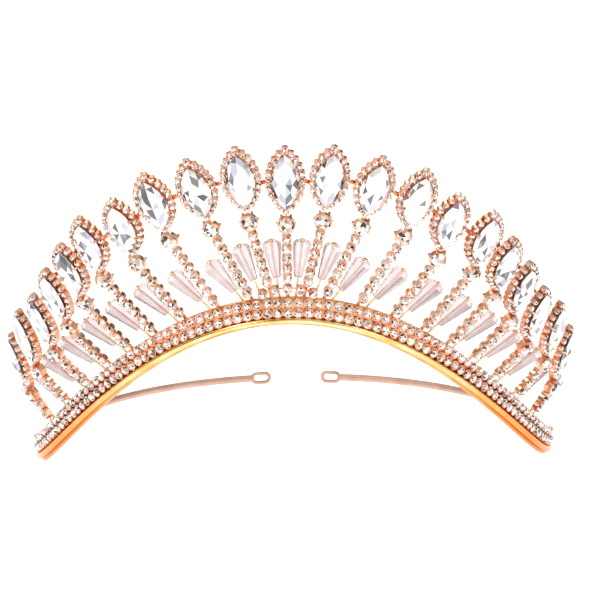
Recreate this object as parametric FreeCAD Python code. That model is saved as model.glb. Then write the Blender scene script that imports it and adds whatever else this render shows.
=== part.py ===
"""Bridal tiara: a rhinestone band on a strip, 21 sprays, tapered crystals and two sprung wire arms.

Frame: millimetres, +Z up, -Y to the front, +X to the wearer's left.
The origin is the centre of the head circle, level with the lowest edge of the band.
"""
import FreeCAD, Part
import math
import os

V = FreeCAD.Vector
X_AXIS = V(1, 0, 0)
Z_AXIS = V(0, 0, 1)
ORIGIN = V(0, 0, 0)

# ---------------------------------------------------------------- driving dimensions
# Head circle and arch
head_radius = 68.0            # outer face of the base strip
arch_height = 50.5            # rise of the band from its ends to its middle
ends_drop = 0.6               # how far the strip's lower edge hangs below the arch line
band_end_azimuth = 88.0       # degrees from the front to each end of the band

# Base strip and rim wire
strip_thickness = 0.9
strip_width = 7.1
strip_end_round = 3.2         # degrees of azimuth over which each end rounds off
strip_end_share = 0.45        # width left at the very end, as a share of the strip
strip_end_sections = (0.35, 0.65, 0.87, 1.0)   # where the rounded end is cut into sections
band_sections_a_side = 14
rim_wire_diameter = 1.5
rim_wire_height = 1.3         # centre of the wire above the lower edge
solder_gap = 0.03             # gap left for solder between pieces that touch

# Rhinestone rows of the band and the crest
row_cup_diameter = 2.44
row_cup_height = 1.5
row_pitch = 2.5
row_end_margin = 1.6          # bare strip beyond the last cup
crest_cups = 5
crest_pitch = 2.6
crest_lift = 0.5              # gap between the strip and the lowest crest cup
crest_arch = 1.0              # how much the crest's middle rises over its ends
crest_flare = 17.0            # outward lean of the crest, degrees
crest_standoff = 0.12         # from the line of the stems' fronts out to the backs of the crest cups
crest_link_diameter = 0.5     # links between crest cups and the posts down to the strip
crest_link_inset = 0.05       # from the backs of the cups in to the links
crest_post_lift = 0.12        # from the strip's top edge up to the end of each post

# Cups and round stones, shared proportions
cup_wall = 0.14
cup_floor = 0.4
seat_floor_share = 0.35       # radius of the seat at its floor, as a share of the rim
stone_clearance = 0.03
girdle_height = 0.12
crown_share = 0.24            # crown height as a share of the stone's diameter
table_share = 0.58            # table diameter as a share of the stone's diameter
culet_radius = 0.12

# Sprays: stem, round setting, marquise setting and halo
spray_count_a_side = 10
spray_gaps = [0.9, 0.9, 0.95, 0.8, 0.8, 1.0, 0.9, 0.8, 0.8, 1.0, 0.7]   # between neighbouring halos
stem_cup_diameter = 2.62
stem_cup_height = 1.6
stem_pitch = 2.65
stem_link_diameter = 0.9
stem_cups = [5, 6, 7, 7, 6, 6, 5, 4, 3, 3, 2, 2]
foot_length = [4.2, 3.5, 1.3, 1.3, 1.3, 1.3, 1.3, 1.3, 1.3, 1.3, 1.3, 1.3]
stem_splay = [0, 9, 15, 11, 7, 4, 2, 2, 2, 2, 2, 2]           # degrees beyond square to the band
stem_flare = [15, 17, 18, 20, 22, 23, 25, 26, 27, 26, 23, 22]       # outward lean of each stem, degrees
marquise_fan = [0, 8, 14, 11, 5, 0, -6, -10, -14, -17, -19, -20]  # sideways lean from upright
marquise_flare = [15, 19, 24, 28, 31, 33, 34, 33, 30, 25, 23, 20]

round_stone_cup_diameter = 4.5
round_stone_cup_height = 1.9
round_claws = 6
round_claw_diameter = 0.56
round_claw_rise = 0.45
round_claw_standoff = 0.084   # from the cup wall out to the middle of each claw

marquise_length = 14.6
marquise_width = 6.9
marquise_girdle_z = 2.15      # girdle's lower edge above the back of the setting
marquise_crown_height = 1.25
marquise_keel_z = 0.55
marquise_table_share = 0.55
marquise_keel_share = 0.12
marquise_facets_a_side = 6
halo_cup_diameter = 1.86
halo_cup_height = 1.3
halo_intervals_a_side = 10    # cups a side, counted tip to tip
halo_line_length = 16.4       # pointed oval through the cup centres
halo_line_width = 8.3
halo_plate_thickness = 0.35
halo_plate_share = 0.62       # width of the ring plate as a share of a cup
setting_wall = 0.4
setting_floor = 0.35
setting_height = 1.5
setting_clearance = 0.08      # between the setting's wall and the halo cups
claw_width = 0.6
claw_thickness = 0.3
claw_station = 2.6            # distance of each claw pair from the middle of the stone
claw_rise = 0.5               # claw tip above the girdle

# Solder ties between neighbouring halos
tie_diameter = 1.1
tie_clearance = 0.08          # from each end of a tie to the cup it meets

# Tapered crystals on head pins
crystal_length = 9.8
crystal_wide = 5.0
crystal_narrow = 2.2
crystal_depth_share = 0.7     # front-to-back size as a share of the width
crystal_bevel = 0.9
crystal_top_inset = 0.72      # how far the top edge draws in on each side
crystal_sides = 8
crystal_foot = 3.6            # from the strip to the narrow end
crystal_foot_middle = 5.6     # the same, beside the bunched middle stems
crystal_inner_share = 0.25    # where the pin leaves the strip, from one stem to the next
crystal_outer_share = 0.5
crystal_set_back = [0, 0, 0, 0, 0, 0, 0, 0, 0, 1.6, 0]   # of each crystal's top, behind the stems' line
pin_diameter = 0.56
pin_clearance = 0.06
pin_head_diameter = 1.2
pin_head_height = 0.5

# Side arms: round wire, each ending in an oval eyelet
arm_wire_diameter = 2.0
arm_height = 3.7
arm_solder_azimuth = 78.0     # where the soldered root of each arm begins
arm_split_gap = 0.3           # free length starts this far after the root
arm_end_azimuth = 169.0
eyelet_wire_diameter = 1.0
eyelet_length = 6.0
eyelet_width = 3.7

# How finely places along the band and between sprays are searched for
run_steps = 352
widest_spray_step = 25.0      # degrees from one spray to the next, at the most
bisection_steps = 40


# ---------------------------------------------------------------- geometry helpers
def rad(angle):
    return math.radians(angle)


def unit(vector):
    return V(vector).normalize()


def placed(shape, origin, x_dir, z_dir):
    """Copy of a shape with its own X and Z axes turned to the given directions."""
    y_dir = z_dir.cross(x_dir)
    matrix = FreeCAD.Matrix(
        x_dir.x, y_dir.x, z_dir.x, origin.x,
        x_dir.y, y_dir.y, z_dir.y, origin.y,
        x_dir.z, y_dir.z, z_dir.z, origin.z,
        0, 0, 0, 1)
    copy = shape.copy()
    copy.Placement = FreeCAD.Placement(matrix)
    return copy


def mirrored(shape):
    return shape.mirror(ORIGIN, X_AXIS)


def turned_solid(profile):
    """Solid of revolution about Z from (radius, height) points that start and end on the axis."""
    points = [V(r, 0, z) for r, z in profile]
    face = Part.Face(Part.makePolygon(points + [points[0]]))
    return face.revolve(ORIGIN, Z_AXIS, 360)


def rod(start, end, diameter):
    return Part.makeCylinder(diameter / 2, (end - start).Length, start, end - start)


def fused(shapes):
    result = shapes[0].fuse(shapes[1:])
    return result.removeSplitter()


def faceted_solid(layers):
    """Closed solid from rings of points; neighbouring rings have the same number of points."""
    faces = [Part.Face(Part.makePolygon(layers[0] + [layers[0][0]]))]
    faces.append(Part.Face(Part.makePolygon(layers[-1] + [layers[-1][0]])))
    for lower, upper in zip(layers, layers[1:]):
        count = len(lower)
        for i in range(count):
            j = (i + 1) % count
            faces.append(Part.Face(Part.makePolygon([lower[i], lower[j], upper[j], upper[i], lower[i]])))
    solid = Part.Solid(Part.Shell(faces))
    if solid.Volume < 0:
        solid.reverse()
    return solid


def write_node(name, shapes):
    solids = shapes if isinstance(shapes, list) else [shapes]
    shape = solids[0] if len(solids) == 1 else Part.makeCompound(solids)
    shape.exportStep("parts/" + name + ".step")


# ---------------------------------------------------------------- band line
def outward_at(azimuth):
    return V(math.sin(rad(azimuth)), -math.cos(rad(azimuth)), 0)


def around_at(azimuth):
    return V(math.cos(rad(azimuth)), math.sin(rad(azimuth)), 0)


def fall_at(azimuth):
    """How fast the band drops per millimetre travelled round the head circle."""
    return arch_height / head_radius * math.sin(2 * rad(azimuth))


def along_at(azimuth):
    return unit(around_at(azimuth) - Z_AXIS * fall_at(azimuth))


def up_at(azimuth):
    return unit(Z_AXIS + around_at(azimuth) * fall_at(azimuth))


def band_point(azimuth, height, outward_by):
    """Point on the outer face of the strip, a height above its lower edge."""
    lower_edge = Z_AXIS * (arch_height * math.cos(rad(azimuth)) ** 2 - ends_drop)
    radial = outward_at(azimuth) * (head_radius + outward_by)
    return lower_edge + radial + up_at(azimuth) * height


def azimuths_along(height, pitch, end_margin):
    """Azimuths of evenly spaced places along the band at a height, with one place in the middle."""
    run = 0.0
    last = band_point(0, height, 0)
    table = [(0.0, 0.0)]
    for n in range(1, run_steps + 1):
        azimuth = band_end_azimuth * n / run_steps
        here = band_point(azimuth, height, 0)
        run += (here - last).Length
        last = here
        table.append((run, azimuth))
    count = int((run - end_margin) / pitch)
    found = [0.0]
    for n in range(1, count + 1):
        target = n * pitch
        for (run_a, az_a), (run_b, az_b) in zip(table, table[1:]):
            if run_a <= target <= run_b:
                found.append(az_a + (az_b - az_a) * (target - run_a) / (run_b - run_a))
                break
    return [-a for a in reversed(found[1:])] + found


def strip_heights(azimuth):
    """Lower and upper edge of the strip, which narrows to a rounded end."""
    middle = strip_width / 2
    into_end = max(0.0, abs(azimuth) - (band_end_azimuth - strip_end_round)) / strip_end_round
    share = math.sqrt(max(0.0, 1 - into_end ** 2 * (1 - strip_end_share ** 2)))
    return middle - middle * share, middle + middle * share


def section_azimuths(margin):
    plain_end = band_end_azimuth - strip_end_round
    inner = [plain_end * i / band_sections_a_side for i in range(band_sections_a_side + 1)]
    outer = [plain_end + strip_end_round * share for share in strip_end_sections]
    half = [a for a in inner + outer if a <= band_end_azimuth - margin]
    return [-a for a in reversed(half[1:])] + half


# ---------------------------------------------------------------- cups and round stones
def round_cup(outer_diameter, height):
    outer = outer_diameter / 2
    rim_radius = outer - cup_wall
    floor_radius = rim_radius * seat_floor_share
    return turned_solid([(0, 0), (outer, 0), (outer, height), (rim_radius, height),
                         (floor_radius, cup_floor), (0, cup_floor)])


def round_stone(cup_diameter, height):
    """Brilliant that seats in a cup of the same size, with a clearance all round its pavilion."""
    girdle = cup_diameter / 2 - cup_wall - stone_clearance
    crown = crown_share * girdle * 2
    low = cup_floor + stone_clearance
    return turned_solid([(0, low), (culet_radius, low), (girdle, height), (girdle, height + girdle_height),
                         (girdle * table_share, height + girdle_height + crown),
                         (0, height + girdle_height + crown)])


# ---------------------------------------------------------------- marquise setting and halo
def oval_arc(length, width):
    """Radius and centre offset of the arc that makes one side of a pointed oval."""
    a = length / 2
    b = width / 2
    radius = (a * a + b * b) / (2 * b)
    return radius, radius - b


def oval_points(length, width, intervals):
    """Points round a pointed oval, the same number of arc steps on each side, tips included once."""
    radius, offset = oval_arc(length, width)
    half_angle = math.asin(length / 2 / radius)
    right = []
    for n in range(intervals):
        angle = -half_angle + 2 * half_angle * n / intervals
        right.append(V(radius * math.cos(angle) - offset, radius * math.sin(angle), 0))
    left = [V(-p.x, -p.y, 0) for p in right]
    return right + left


def parallel_oval(length, width, inset):
    """Length and width of the pointed oval that runs an even distance inside another."""
    radius, offset = oval_arc(length, width)
    return 2 * math.sqrt((radius - inset) ** 2 - offset ** 2), width - 2 * inset


def oval_face(length, width):
    a = length / 2
    b = width / 2
    right = Part.Arc(V(0, -a, 0), V(b, 0, 0), V(0, a, 0)).toShape()
    left = Part.Arc(V(0, a, 0), V(-b, 0, 0), V(0, -a, 0)).toShape()
    return Part.Face(Part.Wire([right, left]))


def lifted(points, share, z):
    return [V(p.x * share, p.y * share, z) for p in points]


def marquise_stone():
    outline = oval_points(marquise_length, marquise_width, marquise_facets_a_side)
    top = marquise_girdle_z + girdle_height + marquise_crown_height
    return faceted_solid([
        lifted(outline, marquise_keel_share, marquise_keel_z),
        lifted(outline, 1.0, marquise_girdle_z),
        lifted(outline, 1.0, marquise_girdle_z + girdle_height),
        lifted(outline, marquise_table_share, top)])


def girdle_half_width(y):
    """Half width of the marquise's faceted girdle at a distance y from its middle, on its arcs."""
    radius, offset = oval_arc(marquise_length, marquise_width)
    return math.sqrt(radius ** 2 - y ** 2) - offset


def navette_setting():
    """Walled tray under the marquise with four claws that reach over the halo's inner edge."""
    inset = halo_cup_diameter / 2 + setting_clearance
    length, width = parallel_oval(halo_line_length, halo_line_width, inset)
    tray = oval_face(length, width).extrude(V(0, 0, setting_height))
    hollow = oval_face(*parallel_oval(length, width, setting_wall))
    hollow = hollow.extrude(V(0, 0, setting_height))
    hollow.translate(V(0, 0, setting_floor))
    pieces = [tray.cut(hollow)]
    claw_top = marquise_girdle_z + girdle_height + claw_rise
    claw_base = halo_cup_height + solder_gap
    face_x = girdle_half_width(claw_station) + stone_clearance
    foot_x = width / 2 - setting_wall
    for side in (-1, 1):
        for station in (-claw_station, claw_station):
            foot = Part.makeBox(face_x + claw_thickness - foot_x, claw_width, setting_height - claw_base,
                                V(foot_x, station - claw_width / 2, claw_base))
            prong = Part.makeBox(claw_thickness, claw_width, claw_top - claw_base,
                                 V(face_x, station - claw_width / 2, claw_base))
            claw = foot.fuse(prong)
            pieces.append(claw if side > 0 else claw.mirror(ORIGIN, X_AXIS))
    return fused(pieces)


def halo_places():
    return oval_points(halo_line_length, halo_line_width, halo_intervals_a_side)


def halo_chain():
    """Ring of small cups on a thin ring plate."""
    plate_width = halo_cup_diameter * halo_plate_share
    outer = oval_face(halo_line_length + plate_width, halo_line_width + plate_width)
    inner = oval_face(halo_line_length - plate_width, halo_line_width - plate_width)
    plate = outer.cut(inner).extrude(V(0, 0, halo_plate_thickness))
    cup = round_cup(halo_cup_diameter, halo_cup_height)
    return fused([plate] + [placed(cup, p, X_AXIS, Z_AXIS) for p in halo_places()])


def round_setting():
    """Cup for the round stone with claws round its wall."""
    cup = round_cup(round_stone_cup_diameter, round_stone_cup_height)
    pieces = [cup]
    reach = round_stone_cup_diameter / 2 + round_claw_standoff
    for n in range(round_claws):
        angle = 2 * math.pi * n / round_claws
        foot = V(reach * math.cos(angle), reach * math.sin(angle), 0)
        pieces.append(Part.makeCylinder(round_claw_diameter / 2, round_stone_cup_height + round_claw_rise, foot))
    stone = round_stone(round_stone_cup_diameter + 2 * stone_clearance, round_stone_cup_height)
    return fused(pieces).cut(stone)


# ---------------------------------------------------------------- places of the sprays
def leaning(azimuth, fan, flare):
    """Direction from sideways fan and outward flare at an azimuth, both from upright."""
    upright = Z_AXIS * math.cos(rad(fan)) + around_at(azimuth) * math.sin(rad(fan))
    return unit(upright * math.cos(rad(flare)) + outward_at(azimuth) * math.sin(rad(flare)))


def facing(direction, azimuth):
    """Outward normal square to a direction, at an azimuth."""
    outward = outward_at(azimuth)
    return unit(outward - direction * outward.dot(direction))


class Spray:
    """Places of one spray on the wearer's left side, worked out from its azimuth."""

    def __init__(self, index, azimuth):
        self.index = index
        self.azimuth = azimuth
        square = math.degrees(math.atan(fall_at(azimuth)))
        self.stem_dir = leaning(azimuth, square + stem_splay[index], stem_flare[index])
        self.stem_face = facing(self.stem_dir, azimuth)
        self.head_dir = leaning(azimuth, marquise_fan[index], marquise_flare[index])
        self.head_face = facing(self.head_dir, azimuth)
        self.foot = band_point(azimuth, strip_width + solder_gap, -strip_thickness / 2)
        self.stem_start = foot_length[index] + stem_pitch / 2
        self.stem_length = foot_length[index] + stem_cups[index] * stem_pitch
        stem_top = self.foot + self.stem_dir * self.stem_length
        self.mid_dir = unit(self.stem_dir + self.head_dir)
        self.mid_face = facing(self.mid_dir, azimuth)
        claw_reach = (round_stone_cup_diameter + round_claw_diameter) / 2 + round_claw_standoff
        self.round_centre = stem_top + self.mid_dir * (claw_reach + 2 * solder_gap)
        tip_reach = claw_reach + halo_cup_diameter / 2 + solder_gap
        self.head_centre = self.round_centre + self.head_dir * (tip_reach + halo_line_length / 2)

    def stem_place(self, distance):
        return self.foot + self.stem_dir * distance

    def head_place(self, x, y, z):
        side = self.head_dir.cross(self.head_face)
        return self.head_centre + side * x + self.head_dir * y + self.head_face * z

    def on_head(self, shape):
        return placed(shape, self.head_centre, self.head_dir.cross(self.head_face), self.head_face)


def nearest_cups(inner, outer):
    """Middles of the two halo cups, one on each spray, that come nearest."""
    pairs = []
    for p in halo_places():
        for q in halo_places():
            pairs.append((inner.head_place(p.x, p.y, halo_cup_height / 2),
                          outer.head_place(q.x, q.y, halo_cup_height / 2)))
    return min(pairs, key=lambda pair: (pair[1] - pair[0]).Length)


def spray_places():
    """Sprays from the middle outwards, each one far enough round to clear the last one's halo."""
    sprays = [Spray(0, 0.0)]
    for index in range(1, spray_count_a_side + 2):
        low = sprays[-1].azimuth
        high = low + widest_spray_step
        for _ in range(bisection_steps):
            middle = (low + high) / 2
            start, end = nearest_cups(sprays[-1], Spray(index, middle))
            if (end - start).Length < halo_cup_diameter + spray_gaps[index - 1]:
                low = middle
            else:
                high = middle
        sprays.append(Spray(index, high))
    return sprays


# ---------------------------------------------------------------- nodes
def build_strip_and_rim():
    sections = []
    for azimuth in section_azimuths(0):
        low, high = strip_heights(azimuth)
        corners = [(low, 0), (high, 0), (high, -strip_thickness), (low, -strip_thickness)]
        points = [band_point(azimuth, h, d) for h, d in corners]
        sections.append(Part.makePolygon(points + [points[0]]))
    write_node("base_strip", Part.makeLoft(sections, True, False))

    sections = []
    for azimuth in section_azimuths(strip_end_round / 2):
        centre = band_point(azimuth, rim_wire_height, rim_wire_diameter / 2 + solder_gap)
        sections.append(Part.Wire(Part.Circle(centre, along_at(azimuth), rim_wire_diameter / 2).toShape()))
    write_node("rim_wire", Part.makeLoft(sections, True, False))


def build_band_rows():
    cup = round_cup(row_cup_diameter, row_cup_height)
    stone = round_stone(row_cup_diameter, row_cup_height)
    lowest = rim_wire_height + rim_wire_diameter / 2 + solder_gap + row_cup_diameter / 2
    for name, height in (("lower", lowest), ("upper", lowest + row_pitch)):
        places = []
        for azimuth in azimuths_along(height, row_pitch, row_end_margin + row_cup_diameter / 2):
            places.append((band_point(azimuth, height, solder_gap), along_at(azimuth), outward_at(azimuth)))
        write_node(name + "_row_cups", [placed(cup, p, x, z) for p, x, z in places])
        write_node(name + "_row_stones", [placed(stone, p, x, z) for p, x, z in places])


def build_crest():
    """Short chain that leans out in front of the middle stems, on two posts."""
    cup = round_cup(row_cup_diameter, row_cup_height)
    stone = round_stone(row_cup_diameter, row_cup_height)
    low_centre = crest_lift + row_cup_diameter / 2
    half = (crest_cups - 1) / 2
    link_out = crest_link_diameter / 2 + crest_link_inset
    pieces = []
    stones = []
    link_points = []
    for n in range(crest_cups):
        share = (n - half) / half
        height = low_centre + crest_arch * (1 - share ** 2)
        azimuth = math.degrees((n - half) * crest_pitch / head_radius)
        rise = leaning(azimuth, math.degrees(math.atan(fall_at(azimuth))), crest_flare)
        face = facing(rise, azimuth)
        foot = band_point(azimuth, strip_width, 0) + face * crest_standoff
        place = foot + rise * height
        pieces.append(placed(cup, place, rise.cross(face), face))
        stones.append(placed(stone, place, rise.cross(face), face))
        link_points.append(place + face * link_out)
        if abs(share) == 1:
            post_foot = foot + rise * crest_post_lift + face * link_out
            pieces.append(rod(post_foot, link_points[-1], crest_link_diameter))
    for start, end in zip(link_points, link_points[1:]):
        pieces.append(rod(start, end, crest_link_diameter))
    chain = fused(pieces)
    for s in stones:
        chain = chain.cut(s)
    write_node("crest_row_cups", chain)
    write_node("crest_row_stones", stones)


def above_strip(shape, azimuth):
    """Cuts a shape off square, a solder gap above the strip's top edge."""
    size = 4 * strip_width
    block = Part.makeBox(size, size, size, V(-size / 2, -size / 2, -size))
    top = band_point(azimuth, strip_width + solder_gap, -strip_thickness / 2)
    return shape.cut(placed(block, top, along_at(azimuth), up_at(azimuth)))


def build_sprays(sprays):
    stem_cup = round_cup(stem_cup_diameter, stem_cup_height)
    stem_stone = round_stone(stem_cup_diameter, stem_cup_height)
    setting = round_setting()
    stone = round_stone(round_stone_cup_diameter, round_stone_cup_height)
    tray = navette_setting()
    halo = halo_chain()
    halo_stone = round_stone(halo_cup_diameter, halo_cup_height)
    marquise = marquise_stone()
    stem_stones = []
    round_stones = []
    halo_stones = []
    for spray in sprays[:spray_count_a_side + 1]:
        stem_x = spray.stem_dir.cross(spray.stem_face)
        cups = []
        stones = []
        for n in range(stem_cups[spray.index]):
            place = spray.stem_place(spray.stem_start + n * stem_pitch)
            cups.append(placed(stem_cup, place, stem_x, spray.stem_face))
            stones.append(placed(stem_stone, place, stem_x, spray.stem_face))
        spine = rod(spray.stem_place(-stem_link_diameter), spray.stem_place(spray.stem_length), stem_link_diameter)
        spine = above_strip(spine, spray.azimuth)
        stem = fused(cups + [spine])
        for s in stones:
            stem = stem.cut(s)
        mid_x = spray.mid_dir.cross(spray.mid_face)
        pieces = [stem,
                  placed(setting, spray.round_centre, mid_x, spray.mid_face),
                  spray.on_head(tray),
                  spray.on_head(halo)]
        small = [placed(halo_stone, spray.head_place(p.x, p.y, 0), spray.head_dir.cross(spray.head_face),
                        spray.head_face) for p in halo_places()]
        big = placed(stone, spray.round_centre, mid_x, spray.mid_face)
        gem = spray.on_head(marquise)
        if spray.index == 0:
            sides = [("middle", lambda s: s)]
        else:
            sides = [("left_%02d" % spray.index, lambda s: s), ("right_%02d" % spray.index, mirrored)]
        for side, turn in sides:
            write_node("spray_" + side, [turn(s) for s in pieces])
            write_node("marquise_" + side, turn(gem))
            stem_stones += [turn(s) for s in stones]
            halo_stones += [turn(s) for s in small]
            round_stones.append(turn(big))
    write_node("stem_stones", stem_stones)
    write_node("round_stones", round_stones)
    write_node("halo_stones", halo_stones)


def build_halo_ties(sprays):
    """A short run of solder wire where each pair of neighbouring halos comes nearest."""
    stone_top = halo_cup_height + girdle_height + crown_share * halo_cup_diameter
    room = Part.makeCylinder(halo_cup_diameter / 2 + tie_clearance, stone_top + 2 * tie_clearance,
                             V(0, 0, -tie_clearance))
    ties = []
    for inner, outer in zip(sprays, sprays[1:spray_count_a_side + 1]):
        start, end = nearest_cups(inner, outer)
        tie = rod(start, end, tie_diameter)
        for spray in (inner, outer):
            for p in halo_places():
                tie = tie.cut(placed(room, spray.head_place(p.x, p.y, 0), spray.head_dir.cross(spray.head_face),
                                     spray.head_face))
        ties += [tie.Solids[0], mirrored(tie.Solids[0])]
    write_node("halo_solder_ties", ties)


def crystal_prototype():
    """Tapered eight-sided crystal along Z, narrow end at the origin, drilled for its pin."""
    rings = []
    for width, z in ((crystal_narrow, 0), (crystal_wide, crystal_length - crystal_bevel),
                     (crystal_wide - 2 * crystal_top_inset, crystal_length)):
        ring = []
        for n in range(crystal_sides):
            angle = 2 * math.pi * (n + 0.5) / crystal_sides
            ring.append(V(width / 2 * math.cos(angle), width / 2 * crystal_depth_share * math.sin(angle), z))
        rings.append(ring)
    drill = Part.makeCylinder(pin_diameter / 2 + pin_clearance, crystal_length)
    return faceted_solid(rings).cut(drill)


def build_crystals(sprays):
    crystal = crystal_prototype()
    crystals = []
    pins = []
    for inner, outer in zip(sprays, sprays[1:]):
        bunched = foot_length[inner.index] > foot_length[-1]
        foot_share = crystal_outer_share if bunched else crystal_inner_share
        start = crystal_foot_middle if bunched else crystal_foot
        reach = start + crystal_length
        foot = inner.foot + (outer.foot - inner.foot) * foot_share
        top = inner.stem_place(reach) + (outer.stem_place(reach) - inner.stem_place(reach)) * crystal_outer_share
        between = (inner.azimuth + outer.azimuth) / 2
        top -= facing(unit(top - foot), between) * crystal_set_back[inner.index]
        direction = unit(top - foot)
        face = facing(direction, between)
        side = direction.cross(face)
        pin_length = start + crystal_length + solder_gap
        pin = turned_solid([(0, -pin_diameter), (pin_diameter / 2, -pin_diameter), (pin_diameter / 2, pin_length),
                            (pin_head_diameter / 2, pin_length),
                            (pin_head_diameter / 2, pin_length + pin_head_height),
                            (0, pin_length + pin_head_height)])
        one = [placed(crystal, foot + direction * start, side, direction)]
        foot_azimuth = inner.azimuth + (outer.azimuth - inner.azimuth) * foot_share
        one_pin = [above_strip(placed(pin, foot, side, direction), foot_azimuth)]
        crystals += one + [mirrored(s) for s in one]
        pins += one_pin + [mirrored(s) for s in one_pin]
    write_node("tapered_crystals", crystals)
    write_node("crystal_pins", pins)


def arm_point(azimuth):
    radius = head_radius - strip_thickness - solder_gap - arm_wire_diameter / 2
    return outward_at(azimuth) * radius + Z_AXIS * arm_height


def wire_arc(start_azimuth, end_azimuth):
    """Round wire on the arm circle, from one azimuth to another."""
    circle = Part.Circle(arm_point(start_azimuth), around_at(start_azimuth), arm_wire_diameter / 2)
    section = Part.Face(Part.Wire(circle.toShape()))
    return section.revolve(Z_AXIS * arm_height, Z_AXIS, end_azimuth - start_azimuth)


def eyelet():
    """Oval ring of wire in its own XY plane, long way along X."""
    tube = eyelet_wire_diameter / 2
    bend = eyelet_width / 2 - tube
    straight = eyelet_length - eyelet_width
    pieces = []
    for side in (-1, 1):
        centre = V(side * straight / 2, 0, 0)
        section = Part.Face(Part.Wire(Part.Circle(centre + V(0, -side * bend, 0), X_AXIS, tube).toShape()))
        pieces.append(section.revolve(centre, Z_AXIS, 180))
        run_start = V(-straight / 2, side * bend, 0)
        pieces.append(Part.makeCylinder(tube, straight, run_start, X_AXIS))
    return fused(pieces)


def build_arms():
    gap_angle = math.degrees(arm_split_gap / arm_point(0).Length)
    root = wire_arc(arm_solder_azimuth, band_end_azimuth)
    free = wire_arc(band_end_azimuth + gap_angle, arm_end_azimuth)
    ring_azimuth = arm_end_azimuth + math.degrees((eyelet_length - eyelet_wire_diameter) / 2 / arm_point(0).Length)
    ring = placed(eyelet(), arm_point(ring_azimuth), around_at(ring_azimuth), outward_at(ring_azimuth))
    arm = fused([free, ring])
    write_node("arm_roots", [root, mirrored(root)])
    write_node("left_arm", arm)
    write_node("right_arm", mirrored(arm))
    hinge = arm_point(band_end_azimuth + gap_angle / 2)
    print("arm hinge at", round(hinge.x, 4), round(hinge.y, 4), arm_height)


def main():
    os.makedirs("parts", exist_ok=True)
    sprays = spray_places()
    print("spray azimuths", [round(s.azimuth, 1) for s in sprays])
    build_strip_and_rim()
    build_band_rows()
    build_crest()
    build_sprays(sprays)
    build_halo_ties(sprays)
    build_crystals(sprays)
    build_arms()


main()
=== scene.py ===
"""Bridal tiara: the finished look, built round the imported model.

Lengths are written in millimetres and each finished piece is scaled to metres. Angles are in degrees.
The origin is the centre of the head circle, +Z up, -Y to the front, +X to the wearer's left.
"""
import math
import random
import bmesh
import bpy
from mathutils import Matrix, Vector


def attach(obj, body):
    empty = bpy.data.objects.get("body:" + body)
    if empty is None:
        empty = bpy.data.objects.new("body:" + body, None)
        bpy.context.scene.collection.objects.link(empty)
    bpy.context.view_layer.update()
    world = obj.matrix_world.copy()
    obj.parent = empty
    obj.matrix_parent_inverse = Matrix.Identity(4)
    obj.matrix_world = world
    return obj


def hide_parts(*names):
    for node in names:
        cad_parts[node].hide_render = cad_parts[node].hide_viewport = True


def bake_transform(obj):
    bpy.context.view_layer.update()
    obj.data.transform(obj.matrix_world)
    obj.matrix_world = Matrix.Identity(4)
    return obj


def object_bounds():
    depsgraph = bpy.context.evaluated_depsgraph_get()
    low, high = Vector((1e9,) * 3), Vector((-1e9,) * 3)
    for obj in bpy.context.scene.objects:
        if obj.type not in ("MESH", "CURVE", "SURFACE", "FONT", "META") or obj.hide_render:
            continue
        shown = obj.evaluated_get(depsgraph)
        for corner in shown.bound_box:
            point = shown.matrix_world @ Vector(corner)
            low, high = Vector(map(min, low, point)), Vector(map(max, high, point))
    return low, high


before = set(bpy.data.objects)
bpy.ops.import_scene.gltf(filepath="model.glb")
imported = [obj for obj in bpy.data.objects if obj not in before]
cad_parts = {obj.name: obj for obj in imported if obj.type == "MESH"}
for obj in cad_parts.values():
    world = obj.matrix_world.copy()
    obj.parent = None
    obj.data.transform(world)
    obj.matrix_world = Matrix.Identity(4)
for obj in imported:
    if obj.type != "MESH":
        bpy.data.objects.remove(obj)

cad_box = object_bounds()

MM = 0.001
Z_AXIS = Vector((0, 0, 1))

# ---------------------------------------------------------------- sizes shared with the model
head_radius = 68.0
arch_height = 50.5
ends_drop = 0.6
band_end_azimuth = 88.0
strip_thickness = 0.9
strip_width = 7.1
strip_end_round = 3.2
strip_end_share = 0.45
rim_wire_diameter = 1.5
rim_wire_height = 1.3
solder_gap = 0.03

row_cup_diameter = 2.44
row_cup_height = 1.5
row_pitch = 2.5
row_end_margin = 1.6
crest_cups = 5
crest_pitch = 2.6
crest_lift = 0.5
crest_arch = 1.0
crest_flare = 17.0
crest_standoff = 0.12
crest_post_lift = 0.12
crest_link_diameter = 0.5
crest_link_inset = 0.05

cup_wall = 0.14
cup_floor = 0.4
stone_clearance = 0.03
girdle_height = 0.12
crown_share = 0.24
table_share = 0.58

# The lists run from the middle spray outwards. Their last entry is a bare place past the tenth spray,
# which only sets where the last crystal stands.
spray_count_a_side = 10
spray_gaps = [0.9, 0.9, 0.95, 0.8, 0.8, 1.0, 0.9, 0.8, 0.8, 1.0, 0.7]
stem_cup_diameter = 2.62
stem_cup_height = 1.6
stem_pitch = 2.65
stem_link_diameter = 0.9
stem_cups = [5, 6, 7, 7, 6, 6, 5, 4, 3, 3, 2, 2]
foot_length = [4.2, 3.5, 1.3, 1.3, 1.3, 1.3, 1.3, 1.3, 1.3, 1.3, 1.3, 1.3]
stem_splay = [0, 9, 15, 11, 7, 4, 2, 2, 2, 2, 2, 2]
stem_flare = [15, 17, 18, 20, 22, 23, 25, 26, 27, 26, 23, 22]
marquise_fan = [0, 8, 14, 11, 5, 0, -6, -10, -14, -17, -19, -20]
marquise_flare = [15, 19, 24, 28, 31, 33, 34, 33, 30, 25, 23, 20]

round_cup_diameter = 4.5
round_cup_height = 1.9
round_claws = 6
round_claw_diameter = 0.56
round_claw_rise = 0.45
round_claw_standoff = 0.084

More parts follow.
